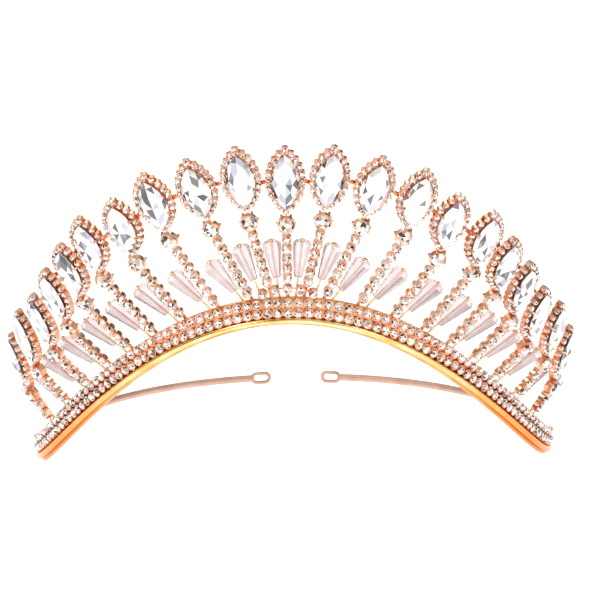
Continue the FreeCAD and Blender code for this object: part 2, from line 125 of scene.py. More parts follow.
marquise_length = 14.6
marquise_width = 6.9
marquise_girdle_z = 2.15
marquise_crown_height = 1.25
marquise_keel_z = 0.55
halo_cup_diameter = 1.86
halo_cup_height = 1.3
halo_intervals_a_side = 10
halo_line_length = 16.4
halo_line_width = 8.3
halo_plate_thickness = 0.35
halo_plate_share = 0.62
setting_wall = 0.4
setting_height = 1.5
setting_clearance = 0.08
claw_width = 0.6
claw_thickness = 0.3
claw_station = 2.6
claw_rise = 0.5

tie_diameter = 1.1
tie_clearance = 0.08
crystal_length = 9.8
crystal_wide = 5.0
crystal_narrow = 2.2
crystal_depth_share = 0.7
crystal_bevel = 0.9
crystal_top_inset = 0.72
crystal_sides = 8
crystal_foot = 3.6
crystal_foot_middle = 5.6
crystal_inner_share = 0.25
crystal_outer_share = 0.5
crystal_set_back = [0, 0, 0, 0, 0, 0, 0, 0, 0, 1.6, 0]
pin_diameter = 0.56
pin_head_diameter = 1.2
pin_head_height = 0.5

arm_wire_diameter = 2.0
arm_height = 3.7
arm_solder_azimuth = 78.0
arm_end_azimuth = 169.0
eyelet_wire_diameter = 1.0
eyelet_length = 6.0
eyelet_width = 3.7

# ---------------------------------------------------------------- finer sizes of the finished pieces
weld_distance = 0.0005
seam_weld_distance = 0.001
band_walk_steps = 352
widest_spray_step = 25.0
halvings = 40

strip_steps = 40
strip_edge_round = 0.22
strip_end_steps = (0.35, 0.65, 0.87, 1.0)
rim_wire_steps = 44

cup_claw_inset = 0.08
cup_claw_height_share = 0.98
cup_claw_width = 0.42
cup_claw_thickness = 0.24
claw_lean_share = 1.3
claw_tip_share = 0.6

stone_sides = 8
half_facet = 180 / stone_sides
chaton_culet_share = 0.2
brilliant_culet_share = 0.1
brilliant_crown_share = 0.82
crown_break = 0.42
marquise_table_share = 0.5
marquise_crown_share = 0.8
marquise_keel_share = 0.2

round_setting_base_share = 0.86
round_setting_base_height = 0.5
round_claw_outset = 0.1
round_claw_slimness = 0.8
oval_intervals = 12
tray_floor = 0.35
tray_claw_bend = 0.5
tray_claw_lean = 0.35
crystal_bore_clearance = 0.06

arm_steps = 60
eyelet_steps = 24


def rad(angle):
    return math.radians(angle)


# ---------------------------------------------------------------- band line and places
def outward_at(azimuth):
    return Vector((math.sin(rad(azimuth)), -math.cos(rad(azimuth)), 0))


def around_at(azimuth):
    return Vector((math.cos(rad(azimuth)), math.sin(rad(azimuth)), 0))


def fall_at(azimuth):
    return arch_height / head_radius * math.sin(2 * rad(azimuth))


def along_at(azimuth):
    return (around_at(azimuth) - Z_AXIS * fall_at(azimuth)).normalized()


def up_at(azimuth):
    return (Z_AXIS + around_at(azimuth) * fall_at(azimuth)).normalized()


def band_point(azimuth, height, outward_by):
    """Point a height above the strip's lower edge and a distance outside its outer face."""
    lower_edge = Z_AXIS * (arch_height * math.cos(rad(azimuth)) ** 2 - ends_drop)
    return lower_edge + outward_at(azimuth) * (head_radius + outward_by) + up_at(azimuth) * height


def azimuths_along(height, pitch, end_margin):
    """Azimuths of evenly spaced places along the band at a height, with one in the middle."""
    run = 0.0
    last = band_point(0, height, 0)
    walked = [(0.0, 0.0)]
    for n in range(1, band_walk_steps + 1):
        azimuth = band_end_azimuth * n / band_walk_steps
        here = band_point(azimuth, height, 0)
        run += (here - last).length
        last = here
        walked.append((run, azimuth))
    found = [0.0]
    for n in range(1, int((run - end_margin) / pitch) + 1):
        for (run_a, az_a), (run_b, az_b) in zip(walked, walked[1:]):
            if run_a <= n * pitch <= run_b:
                found.append(az_a + (az_b - az_a) * (n * pitch - run_a) / (run_b - run_a))
                break
    return [-a for a in reversed(found[1:])] + found


def leaning(azimuth, fan, flare):
    upright = Z_AXIS * math.cos(rad(fan)) + around_at(azimuth) * math.sin(rad(fan))
    return (upright * math.cos(rad(flare)) + outward_at(azimuth) * math.sin(rad(flare))).normalized()


def facing(direction, azimuth):
    outward = outward_at(azimuth)
    return (outward - direction * outward.dot(direction)).normalized()


def place_at(origin, x_dir, z_dir):
    """Matrix that turns a shape's own X and Z to two directions and moves it to a point."""
    y_dir = z_dir.cross(x_dir)
    return Matrix((
        (x_dir.x, y_dir.x, z_dir.x, origin.x),
        (x_dir.y, y_dir.y, z_dir.y, origin.y),
        (x_dir.z, y_dir.z, z_dir.z, origin.z),
        (0, 0, 0, 1)))


def pointed_oval(length, width, intervals):
    """Points round a pointed oval, the tips included once."""
    half_length = length / 2
    half_width = width / 2
    radius = (half_length ** 2 + half_width ** 2) / (2 * half_width)
    offset = radius - half_width
    half_angle = math.asin(half_length / radius)
    one_side = []
    for n in range(intervals):
        angle = -half_angle + 2 * half_angle * n / intervals
        one_side.append(Vector((radius * math.cos(angle) - offset, radius * math.sin(angle), 0)))
    return one_side + [Vector((-p.x, -p.y, 0)) for p in one_side]


class Spray:
    """Places of one spray on the wearer's left side."""

    def __init__(self, index, azimuth):
        self.index = index
        self.azimuth = azimuth
        square = math.degrees(math.atan(fall_at(azimuth)))
        self.stem_dir = leaning(azimuth, square + stem_splay[index], stem_flare[index])
        self.stem_face = facing(self.stem_dir, azimuth)
        self.head_dir = leaning(azimuth, marquise_fan[index], marquise_flare[index])
        self.head_face = facing(self.head_dir, azimuth)
        self.foot = band_point(azimuth, strip_width + solder_gap, -strip_thickness / 2)
        self.stem_length = foot_length[index] + stem_cups[index] * stem_pitch
        stem_top = self.foot + self.stem_dir * self.stem_length
        self.mid_dir = (self.stem_dir + self.head_dir).normalized()
        self.mid_face = facing(self.mid_dir, azimuth)
        claw_reach = (round_cup_diameter + round_claw_diameter) / 2 + round_claw_standoff
        self.round_centre = stem_top + self.mid_dir * (claw_reach + 2 * solder_gap)
        tip_reach = claw_reach + halo_cup_diameter / 2 + solder_gap
        self.head_centre = self.round_centre + self.head_dir * (tip_reach + halo_line_length / 2)

    def stem_point(self, distance):
        return self.foot + self.stem_dir * distance

    def stem_place(self, distance):
        return place_at(self.stem_point(distance), self.stem_dir.cross(self.stem_face), self.stem_face)

    def round_place(self):
        return place_at(self.round_centre, self.mid_dir.cross(self.mid_face), self.mid_face)

    def head_place(self):
        return place_at(self.head_centre, self.head_dir.cross(self.head_face), self.head_face)


halo_points = pointed_oval(halo_line_length, halo_line_width, halo_intervals_a_side)


def nearest_cups(inner, outer):
    """Middles of the two halo cups, one on each spray, that come nearest."""
    lift = Vector((0, 0, halo_cup_height / 2))
    inner_cups = [inner.head_place() @ (p + lift) for p in halo_points]
    outer_cups = [outer.head_place() @ (q + lift) for q in halo_points]
    pairs = [(start, end) for start in inner_cups for end in outer_cups]
    return min(pairs, key=lambda pair: (pair[1] - pair[0]).length)


def spray_places():
    """Sprays from the middle outwards, each far enough round to clear the last one's halo."""
    found = [Spray(0, 0.0)]
    for index in range(1, spray_count_a_side + 2):
        low = found[-1].azimuth
        high = low + widest_spray_step
        for _ in range(halvings):
            middle = (low + high) / 2
            start, end = nearest_cups(found[-1], Spray(index, middle))
            if (end - start).length < halo_cup_diameter + spray_gaps[index - 1]:
                low = middle
            else:
                high = middle
        found.append(Spray(index, high))
    return found


MIRROR = Matrix.Diagonal((-1, 1, 1, 1))
sprays = spray_places()


# ---------------------------------------------------------------- mesh helpers
def moved(x=0.0, y=0.0, z=0.0):
    return Matrix.Translation((x, y, z))


def prototype(name, bm):
    """Finished mesh of a repeated shape, in millimetres."""
    bmesh.ops.remove_doubles(bm, verts=bm.verts, dist=weld_distance)
    bmesh.ops.recalc_face_normals(bm, faces=bm.faces)
    mesh = bpy.data.meshes.new(name)
    bm.to_mesh(mesh)
    bm.free()
    return mesh


def add_copy(bm, mesh, matrix, dice=None):
    """Adds a copy of a repeated shape; with dice, each facet gets its own random tone, a painted reflection
    that stands in for the light a cut, foiled stone throws back.
    """
    copy = mesh.copy()
    copy.transform(matrix)
    if matrix.determinant() < 0:
        copy.flip_normals()
    if dice is not None:
        # Each facet draws a painted reflection tone: dark, white or warm.
        tones = [dice.random() for _ in copy.polygons]
        copy.attributes.new("facet_reflection_tone", "FLOAT", "FACE").data.foreach_set("value", tones)
    bm.from_mesh(copy)
    bpy.data.meshes.remove(copy)


def stone_tray():
    """Empty mesh for cut stones, with room for a painted reflection tone on each facet."""
    bm = bmesh.new()
    bm.faces.layers.float.new("facet_reflection_tone")
    return bm


def finish_piece(name, bm, material, nodes, smooth_angle=None, body="tiara"):
    """Piece at the origin, in metres, riding its body and standing for its nodes."""
    bmesh.ops.scale(bm, vec=(MM, MM, MM), verts=bm.verts)
    mesh = bpy.data.meshes.new(name)
    bm.to_mesh(mesh)
    bm.free()
    mesh.materials.append(material)
    piece = bpy.data.objects.new(name, mesh)
    bpy.context.scene.collection.objects.link(piece)
    if smooth_angle is not None:
        mesh.shade_smooth()
        mesh.set_sharp_from_angle(angle=rad(smooth_angle))
    if body is not None:
        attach(piece, body)
    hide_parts(*nodes)
    return piece


def sweep(bm, ring_verts, first, places, closed=False):
    """Runs a ring of vertices, drawn round the first place, through the later ones.

    The ends are capped, or with closed the last ring, which lies on the first one, is joined to it.
    """
    edges = []
    for a, b in zip(ring_verts, ring_verts[1:] + ring_verts[:1]):
        edges.append(bm.edges.get((a, b)) or bm.edges.new((a, b)))
    start_edges = edges
    previous = first
    for place in places:
        grown = bmesh.ops.extrude_edge_only(bm, edges=edges)["geom"]
        verts = [g for g in grown if isinstance(g, bmesh.types.BMVert)]
        edges = [g for g in grown if isinstance(g, bmesh.types.BMEdge)]
        bmesh.ops.transform(bm, matrix=place @ previous.inverted(), verts=verts)
        previous = place
    if closed:
        bmesh.ops.remove_doubles(bm, verts=bm.verts, dist=seam_weld_distance)
    else:
        bmesh.ops.holes_fill(bm, edges=start_edges + edges, sides=0)
    bmesh.ops.recalc_face_normals(bm, faces=bm.faces)


def ring_of(bm, radius, sides, place):
    return bmesh.ops.create_circle(bm, segments=sides, radius=radius, matrix=place)["verts"]


def rod_between(bm, start, end, diameter, sides=10):
    """Closed round rod from one point to another."""
    run = end - start
    turn = run.to_track_quat("Z", "Y").to_matrix().to_4x4()
    middle = Matrix.Translation((start + end) / 2) @ turn
    bmesh.ops.create_cone(bm, cap_ends=True, segments=sides, radius1=diameter / 2, radius2=diameter / 2,
                          depth=run.length, matrix=middle)


# ---------------------------------------------------------------- repeated shapes
def spun(bm, profile, steps):
    """Turns a profile of (radius, height) points about Z."""
    verts = [bm.verts.new((r, 0, z)) for r, z in profile]
    edges = [bm.edges.new(pair) for pair in zip(verts, verts[1:])]
    bmesh.ops.spin(bm, geom=verts + edges, cent=(0, 0, 0), axis=(0, 0, 1), angle=2 * math.pi,
                   steps=steps, use_merge=True)
    bmesh.ops.remove_doubles(bm, verts=bm.verts, dist=weld_distance)


def claw_shape(bm, radius, height, width, thickness, rise, turn):
    """One claw: a small upright prong whose tip leans in over the stone."""
    made = bmesh.ops.create_cube(bm, size=1.0)["verts"]
    bmesh.ops.scale(bm, vec=(thickness, width, height + rise), verts=made)
    bmesh.ops.translate(bm, vec=(radius, 0, (height + rise) / 2), verts=made)
    tip = [v for v in made if v.co.z > height]
    bmesh.ops.translate(bm, vec=(-thickness * claw_lean_share, 0, 0), verts=tip)
    bmesh.ops.scale(bm, vec=(1, claw_tip_share, 1), verts=tip)
    bmesh.ops.rotate(bm, cent=(0, 0, 0), matrix=Matrix.Rotation(turn, 3, "Z"), verts=made)


def cup_mesh(name, diameter, height, steps, claws=4):
    """Chain cup with its seat and claws."""
    bm = bmesh.new()
    radius = diameter / 2
    spun(bm, [(0, 0), (radius, 0), (radius, height), (radius - cup_wall, height), (0, cup_floor)], steps)
    for n in range(claws):
        claw_shape(bm, radius - cup_claw_inset, height * cup_claw_height_share, cup_claw_width,
                   cup_claw_thickness, cup_claw_thickness, 2 * math.pi * (n + 0.5) / claws)
    return prototype(name, bm)


def cut_stone(name, bm, flat_within):
    """Stone with flat facets round its points; the top is split in wedges, so that it shows several painted
    reflection tones.
    """
    bmesh.ops.convex_hull(bm, input=bm.verts)
    bmesh.ops.dissolve_limit(bm, angle_limit=rad(flat_within), verts=bm.verts, edges=bm.edges)
    table = max(bm.faces, key=lambda face: face.calc_center_median().z)
    bmesh.ops.poke(bm, faces=[table])
    return prototype(name, bm)


def stone_sizes(cup_diameter):
    """Girdle radius and crown height of the round stone that fits a cup."""
    girdle = cup_diameter / 2 - cup_wall - stone_clearance
    return girdle, crown_share * girdle * 2


def small_brilliant(name, cup_diameter, height):
    """Chaton for a chain cup: table, crown and pavilion facets."""
    bm = bmesh.new()
    girdle, crown = stone_sizes(cup_diameter)
    between = Matrix.Rotation(rad(half_facet), 4, "Z")
    ring_of(bm, girdle * table_share, stone_sides, moved(z=height + girdle_height + crown))
    ring_of(bm, girdle, stone_sides, moved(z=height + girdle_height / 2) @ between)
    ring_of(bm, girdle * chaton_culet_share, stone_sides // 2, moved(z=cup_floor + stone_clearance))
    return cut_stone(name, bm, 1)


def round_brilliant(name, cup_diameter, height):
    """Larger round stone with star, kite and girdle facets."""
    bm = bmesh.new()
    girdle, crown = stone_sizes(cup_diameter)
    between = Matrix.Rotation(rad(half_facet), 4, "Z")
    top = height + girdle_height + crown
    ring_of(bm, girdle * table_share, stone_sides, moved(z=top))
    ring_of(bm, girdle * brilliant_crown_share, stone_sides, moved(z=top - crown * crown_break) @ between)
    ring_of(bm, girdle, stone_sides * 2, moved(z=height + girdle_height))
    ring_of(bm, girdle, stone_sides * 2, moved(z=height))
    ring_of(bm, girdle * brilliant_culet_share, stone_sides, moved(z=cup_floor + stone_clearance))
    return cut_stone(name, bm, 1.5)


def oval_ring(bm, share, z, intervals):
    """Ring of vertices on a pointed oval of the marquise's outline, scaled by a share."""
    for p in pointed_oval(marquise_length, marquise_width, intervals):
        bm.verts.new((p.x * share, p.y * share, z))


def marquise_mesh():
    """Marquise stone: table, two rows of crown facets, girdle and a keeled pavilion."""
    bm = bmesh.new()
    top = marquise_girdle_z + girdle_height + marquise_crown_height
    oval_ring(bm, marquise_table_share, top, 4)
    oval_ring(bm, marquise_crown_share, top - marquise_crown_height * crown_break, 5)
    oval_ring(bm, 1.0, marquise_girdle_z + girdle_height, 8)
    oval_ring(bm, 1.0, marquise_girdle_z, 8)
    for end in (-1, 1):
        bm.verts.new((0, end * marquise_length * marquise_keel_share, marquise_keel_z))
    return cut_stone("marquise_cut", bm, 1.5)


def round_setting_mesh():
    """Setting for the larger round stone, with six claws bent over the girdle."""
    bm = bmesh.new()
    radius = round_cup_diameter / 2
    spun(bm, [(0, 0), (radius * round_setting_base_share, 0), (radius, round_setting_base_height),
              (radius, round_cup_height), (radius - cup_wall, round_cup_height), (0, cup_floor)], 20)
    for n in range(round_claws):
        claw_shape(bm, radius + round_claw_outset, round_cup_height + round_claw_outset, round_claw_diameter,
                   round_claw_diameter * round_claw_slimness, round_claw_rise * round_claw_slimness,
                   2 * math.pi * n / round_claws)
    return prototype("round_setting", bm)


def parallel_oval(length, width, inset):
    """Length and width of the pointed oval that runs an even distance inside another."""
    half_length = length / 2
    half_width = width / 2
    radius = (half_length ** 2 + half_width ** 2) / (2 * half_width)
    return 2 * math.sqrt((radius - inset) ** 2 - (radius - half_width) ** 2), width - 2 * inset


def oval_wall(bm, outer_length, outer_width, wall, height, floor):
    """Pointed-oval tray: an outline extruded up, inset by the wall and sunk to its floor."""
    outline = [bm.verts.new(p) for p in pointed_oval(outer_length, outer_width, oval_intervals)]
    base = bm.faces.new(outline)
    grown = bmesh.ops.extrude_face_region(bm, geom=[base])["geom"]
    top_verts = [g for g in grown if isinstance(g, bmesh.types.BMVert)]
    top_face = [g for g in grown if isinstance(g, bmesh.types.BMFace)]
    bmesh.ops.translate(bm, vec=(0, 0, height), verts=top_verts)
    bmesh.ops.inset_region(bm, faces=top_face, thickness=wall, use_even_offset=True)
    sunk = bmesh.ops.extrude_face_region(bm, geom=top_face)["geom"]
    sunk_verts = [g for g in sunk if isinstance(g, bmesh.types.BMVert)]
    bmesh.ops.translate(bm, vec=(0, 0, floor - height), verts=sunk_verts)
    bmesh.ops.delete(bm, geom=top_face, context="FACES_ONLY")


def tray_mesh():
    """Marquise setting: walled tray with four claws."""
    bm = bmesh.new()
    inset = halo_cup_diameter / 2 + setting_clearance
    length, width = parallel_oval(halo_line_length, halo_line_width, inset)
    oval_wall(bm, length, width, setting_wall, setting_height, tray_floor)
    half_length = marquise_length / 2
    half_width = marquise_width / 2
    radius = (half_length ** 2 + half_width ** 2) / (2 * half_width)
    claw_x = math.sqrt(radius ** 2 - claw_station ** 2) - (radius - half_width) + stone_clearance
    top = marquise_girdle_z + girdle_height + claw_rise
    base = halo_cup_height + solder_gap
    for side in (-1, 1):
        for station in (-claw_station, claw_station):
            made = bmesh.ops.create_cube(bm, size=1.0)["verts"]
            bmesh.ops.scale(bm, vec=(claw_thickness, claw_width, top - base), verts=made)
            bmesh.ops.translate(bm, vec=(claw_x + claw_thickness / 2, station, (top + base) / 2), verts=made)
            tip = [v for v in made if v.co.z > base + tray_claw_bend]
            bmesh.ops.translate(bm, vec=(-tray_claw_lean, 0, 0), verts=tip)
            foot = bmesh.ops.create_cube(bm, size=1.0)["verts"]
            reach = claw_x + claw_thickness - (width / 2 - setting_wall)
            bmesh.ops.scale(bm, vec=(reach, claw_width, setting_height - base), verts=foot)
            bmesh.ops.translate(bm, vec=(claw_x + claw_thickness - reach / 2, station,
                                         (setting_height + base) / 2), verts=foot)
            if side < 0:
                bmesh.ops.scale(bm, vec=(-1, 1, 1), verts=made + foot)
    return prototype("marquise_tray", bm)


def halo_mesh():
    """Ring plate under the halo cups."""
    bm = bmesh.new()
    plate = halo_cup_diameter * halo_plate_share
    edges = []
    for grow in (plate, -plate):
        outline = pointed_oval(halo_line_length + grow, halo_line_width + grow, oval_intervals)
        loop = [bm.verts.new(p) for p in outline]
        edges += [bm.edges.new(pair) for pair in zip(loop, loop[1:] + loop[:1])]
    faces = bmesh.ops.bridge_loops(bm, edges=edges)["faces"]
    grown = bmesh.ops.extrude_face_region(bm, geom=faces)["geom"]
    bmesh.ops.translate(bm, vec=(0, 0, halo_plate_thickness),
                        verts=[g for g in grown if isinstance(g, bmesh.types.BMVert)])
    return prototype("halo_plate", bm)


def crystal_mesh():
    """Tapered eight-sided crystal along Z with a bevelled wide end and a drilled bore."""
    bm = bmesh.new()
    half_side = Matrix.Rotation(math.pi / crystal_sides, 4, "Z")
    rings = []
    for width, z in ((crystal_narrow, 0), (crystal_wide, crystal_length - crystal_bevel),
                     (crystal_wide - 2 * crystal_top_inset, crystal_length)):
        ring = ring_of(bm, width / 2, crystal_sides, moved(z=z) @ half_side)
        bmesh.ops.scale(bm, vec=(1, crystal_depth_share, 1), verts=ring)
        rings.append(ring)
    bore = pin_diameter / 2 + crystal_bore_clearance
    for z in (crystal_length, 0):
        rings.append(ring_of(bm, bore, crystal_sides, moved(z=z) @ half_side))
    for lower, upper in zip(rings, rings[1:] + rings[:1]):
        for i in range(crystal_sides):
            j = (i + 1) % crystal_sides
            bm.faces.new((lower[i], lower[j], upper[j], upper[i]))
    return prototype("tapered_crystal", bm)


# ---------------------------------------------------------------- materials
def new_material(name):
    """New material with its nodes, its links and its shader."""
    material = bpy.data.materials.new(name)
    material.use_nodes = True
    tree = material.node_tree
    return material, tree.nodes, tree.links, tree.nodes["Principled BSDF"]


def ramp(nodes, stops):
    """Colour ramp through (position, colour) stops."""
    node = nodes.new("ShaderNodeValToRGB")
    elements = node.color_ramp.elements
    while len(elements) < len(stops):
        elements.new(0.5)
    for element, (position, colour) in zip(elements, stops):
        element.position = position
        element.color = (*colour, 1)
    return node


def plating_group():
    """Plated metal: drifts between two tones, with fine casting texture and a worn, rougher haze."""
    group = bpy.data.node_groups.new("plated_metal", "ShaderNodeTree")
    sockets = group.interface
    for name, kind, default in (("Tone", "NodeSocketColor", (0.9, 0.6, 0.45, 1)),
                                ("Deep Tone", "NodeSocketColor", (0.8, 0.4, 0.2, 1)),
                                ("Patch Scale", "NodeSocketFloat", 300.0),
                                ("Roughness", "NodeSocketFloat", 0.2),
                                ("Haze", "NodeSocketFloat", 0.1)):
        socket = sockets.new_socket(name=name, in_out="INPUT", socket_type=kind)
        socket.default_value = default
    for name, kind in (("Color", "NodeSocketColor"),
                       ("Roughness", "NodeSocketFloat"),
                       ("Height", "NodeSocketFloat")):
        sockets.new_socket(name=name, in_out="OUTPUT", socket_type=kind)
    nodes, links = group.nodes, group.links
    given = nodes.new("NodeGroupInput")
    out = nodes.new("NodeGroupOutput")
    place = nodes.new("ShaderNodeTexCoord")
    patches = nodes.new("ShaderNodeTexNoise")
    patches.inputs["Detail"].default_value = 3
    links.new(place.outputs["Object"], patches.inputs["Vector"])
    links.new(given.outputs["Patch Scale"], patches.inputs["Scale"])
    grain = nodes.new("ShaderNodeTexNoise")
    grain.inputs["Scale"].default_value = 4200
    grain.inputs["Detail"].default_value = 2
    links.new(place.outputs["Object"], grain.inputs["Vector"])
    contrast = nodes.new("ShaderNodeMapRange")
    contrast.inputs["From Min"].default_value = 0.38
    contrast.inputs["From Max"].default_value = 0.66
    links.new(patches.outputs["Fac"], contrast.inputs["Value"])
    mix = nodes.new("ShaderNodeMix")
    mix.data_type = "RGBA"
    links.new(contrast.outputs["Result"], mix.inputs["Factor"])
    links.new(given.outputs["Tone"], mix.inputs["A"])
    links.new(given.outputs["Deep Tone"], mix.inputs["B"])
    links.new(mix.outputs["Result"], out.inputs["Color"])
    haze = nodes.new("ShaderNodeMath")
    haze.operation = "MULTIPLY_ADD"
    links.new(grain.outputs["Fac"], haze.inputs[0])
    links.new(given.outputs["Haze"], haze.inputs[1])
    links.new(given.outputs["Roughness"], haze.inputs[2])
    links.new(haze.outputs["Value"], out.inputs["Roughness"])
    links.new(grain.outputs["Fac"], out.inputs["Height"])
    return group


plating = plating_group()


def shaded_towards_ends(nodes, links, colour, end_shade_tone):
    """Painted shade: the colour goes over to a darker tone towards the two ends of the band."""
    place = nodes.new("ShaderNodeTexCoord")
    axes = nodes.new("ShaderNodeSeparateXYZ")
    sideways = nodes.new("ShaderNodeMath")
    sideways.operation = "ABSOLUTE"
    end_shade_mask = nodes.new("ShaderNodeMapRange")
    end_shade_mask.inputs["From Min"].default_value = 0.035
    end_shade_mask.inputs["From Max"].default_value = 0.062
    mix = nodes.new("ShaderNodeMix")
    mix.data_type = "RGBA"
    mix.inputs["B"].default_value = (*end_shade_tone, 1)
    links.new(place.outputs["Object"], axes.inputs["Vector"])
    links.new(axes.outputs["X"], sideways.inputs[0])
    links.new(sideways.outputs["Value"], end_shade_mask.inputs["Value"])
    links.new(end_shade_mask.outputs["Result"], mix.inputs["Factor"])
    links.new(colour, mix.inputs["A"])
    return mix.outputs["Result"]


def plated(name, tone, deep_tone, patch_scale, roughness, haze, bump, end_shade_tone=None):
    """Plated metal; with an end tone, painted shade deepens the colour towards the two ends of the band."""
    material, nodes, links, shader = new_material(name)
    effect = nodes.new("ShaderNodeGroup")
    effect.node_tree = plating
    effect.inputs["Tone"].default_value = (*tone, 1)
    effect.inputs["Deep Tone"].default_value = (*deep_tone, 1)
    effect.inputs["Patch Scale"].default_value = patch_scale
    effect.inputs["Roughness"].default_value = roughness
    effect.inputs["Haze"].default_value = haze
    relief = nodes.new("ShaderNodeBump")
    relief.inputs["Strength"].default_value = bump
    relief.inputs["Distance"].default_value = 0.00003
    colour = effect.outputs["Color"]
    if end_shade_tone:
        colour = shaded_towards_ends(nodes, links, colour, end_shade_tone)
    links.new(colour, shader.inputs["Base Color"])
    links.new(effect.outputs["Roughness"], shader.inputs["Roughness"])
    links.new(effect.outputs["Height"], relief.inputs["Height"])
    links.new(relief.outputs["Normal"], shader.inputs["Normal"])
    shader.inputs["Metallic"].default_value = 1.0
    return material


def painted_glint_stone(name, stops, metallic):
    """Cut glass over foil: every facet has its own painted reflection tone under a sharp clear surface."""
    material, nodes, links, shader = new_material(name)
    tone = nodes.new("ShaderNodeAttribute")
    tone.attribute_name = "facet_reflection_tone"
    colours = ramp(nodes, stops)
    links.new(tone.outputs["Fac"], colours.inputs["Fac"])
    links.new(colours.outputs["Color"], shader.inputs["Base Color"])
    shader.inputs["Metallic"].default_value = metallic
    shader.inputs["Roughness"].default_value = 0.06
    shader.inputs["IOR"].default_value = 1.6
    shader.inputs["Coat Weight"].default_value = 1.0
    shader.inputs["Coat Roughness"].default_value = 0.02
    return material


def clear_crystal(name, colour):
    """Clear glass with faint clouds of a colour."""
    material, nodes, links, shader = new_material(name)
    place = nodes.new("ShaderNodeTexCoord")
    cloud = nodes.new("ShaderNodeTexNoise")
    cloud.inputs["Scale"].default_value = 350
    cloud.inputs["Detail"].default_value = 2
    links.new(place.outputs["Object"], cloud.inputs["Vector"])
    colours = ramp(nodes, ((0.35, colour), (0.65, (1.0, 0.98, 0.98))))
    links.new(cloud.outputs["Fac"], colours.inputs["Fac"])
    links.new(colours.outputs["Color"], shader.inputs["Base Color"])
    shader.inputs["Roughness"].default_value = 0.1
    shader.inputs["IOR"].default_value = 1.35
    shader.inputs["Transmission Weight"].default_value = 0.7
    return material


rose_gold = plated("rose_gold", tone=(0.98, 0.68, 0.53), deep_tone=(0.9, 0.34, 0.12),
                   patch_scale=420, roughness=0.18, haze=0.16, bump=0.4)
bright_gold = plated("yellow_gold_wire", tone=(1.0, 0.82, 0.5), deep_tone=(0.95, 0.62, 0.25),
                     patch_scale=260, roughness=0.14, haze=0.12, bump=0.2)
# The strip and the rim wire carry painted shade that darkens them towards the band's two ends.
strip_gold = plated("strip_rose_gold", tone=(0.95, 0.52, 0.24), deep_tone=(0.82, 0.3, 0.07),
                    patch_scale=160, roughness=0.24, haze=0.15, bump=0.3, end_shade_tone=(0.9, 0.24, 0.03))
rim_gold = plated("rim_wire_gold", tone=(1.0, 0.8, 0.42), deep_tone=(0.9, 0.5, 0.14),
                  patch_scale=110, roughness=0.16, haze=0.12, bump=0.2, end_shade_tone=(0.95, 0.32, 0.05))
arm_gold = plated("arm_wire_matte", tone=(0.74, 0.5, 0.4), deep_tone=(0.66, 0.42, 0.33),
                  patch_scale=200, roughness=0.5, haze=0.2, bump=0.4)
solder = plated("warm_solder", tone=(1.0, 0.36, 0.1), deep_tone=(0.75, 0.12, 0.02),
                patch_scale=500, roughness=0.35, haze=0.2, bump=0.5)
# Painted reflections of the small stones: near-black and grey facets, white glints, and warm facets standing
# in for the rose gold seen in the stone.
clear_stone = painted_glint_stone("clear_chaton", metallic=0.25, stops=(
    (0.0, (0.02, 0.018, 0.018)),
    (0.2, (0.09, 0.07, 0.06)),
    (0.26, (0.6, 0.58, 0.58)),
    (0.4, (1.0, 1.0, 1.0)),
    (0.75, (1.0, 0.97, 0.9)),
    (0.85, (0.95, 0.62, 0.42)),
    (1.0, (0.75, 0.3, 0.14))))
# Painted reflections of the marquise: dark and bluish grey facets, white glints and cream.
marquise_glass = painted_glint_stone("marquise_crystal", metallic=0.3, stops=(
    (0.0, (0.05, 0.05, 0.055)),
    (0.16, (0.2, 0.2, 0.21)),
    (0.22, (0.5, 0.5, 0.62)),
    (0.42, (0.9, 0.9, 0.95)),
    (0.6, (1.0, 1.0, 1.0)),
    (0.85, (1.0, 0.97, 0.88)),
    (1.0, (0.96, 0.88, 0.72))))
pink_crystal = clear_crystal("pale_pink_crystal", (1.0, 0.8, 0.8))


# ---------------------------------------------------------------- band
def build_strip():
    """Flat strip with rounded edges, narrowed and rounded at its two ends."""
    plain_end = band_end_azimuth - strip_end_round
    half = [plain_end * i / strip_steps for i in range(strip_steps + 1)]
    half += [plain_end + strip_end_round * share for share in strip_end_steps]
    stations = [-a for a in reversed(half[1:])] + half

    def strip_place(azimuth):
        into_end = max(0.0, abs(azimuth) - plain_end) / strip_end_round
        share = math.sqrt(max(0.0, 1 - into_end ** 2 * (1 - strip_end_share ** 2)))
        centre = band_point(azimuth, strip_width / 2, -strip_thickness / 2)
        return place_at(centre, up_at(azimuth), along_at(azimuth)) @ Matrix.Diagonal((share, 1, 1, 1))

    bm = bmesh.new()
    first = strip_place(stations[0])
    corners = bmesh.ops.create_grid(bm, x_segments=1, y_segments=1, size=0.5)["verts"]
    bmesh.ops.scale(bm, vec=(strip_width, strip_thickness, 1), verts=corners)
    bmesh.ops.bevel(bm, geom=corners, offset=strip_edge_round, segments=3, profile=0.5, affect="VERTICES",
                    material=-1)
    bm.faces.ensure_lookup_table()
    ring = list(bm.faces[0].verts)
    bmesh.ops.delete(bm, geom=[bm.faces[0]], context="FACES_ONLY")
    bmesh.ops.transform(bm, matrix=first, verts=ring)
    sweep(bm, ring, first, [strip_place(a) for a in stations[1:]])
    finish_piece("arched_strip", bm, strip_gold, ["base_strip"], 35)


def build_rim_wire():
    wire_end = band_end_azimuth - strip_end_round / 2
    stations = [wire_end * i / rim_wire_steps for i in range(-rim_wire_steps, rim_wire_steps + 1)]

    def wire_place(azimuth):
        centre = band_point(azimuth, rim_wire_height, rim_wire_diameter / 2 + solder_gap)
        return place_at(centre, up_at(azimuth), along_at(azimuth))

    bm = bmesh.new()
    first = wire_place(stations[0])
    ring = ring_of(bm, rim_wire_diameter / 2, 16, first)
    sweep(bm, ring, first, [wire_place(a) for a in stations[1:]])
    finish_piece("rim_wire_polished", bm, rim_gold, ["rim_wire"], 40)


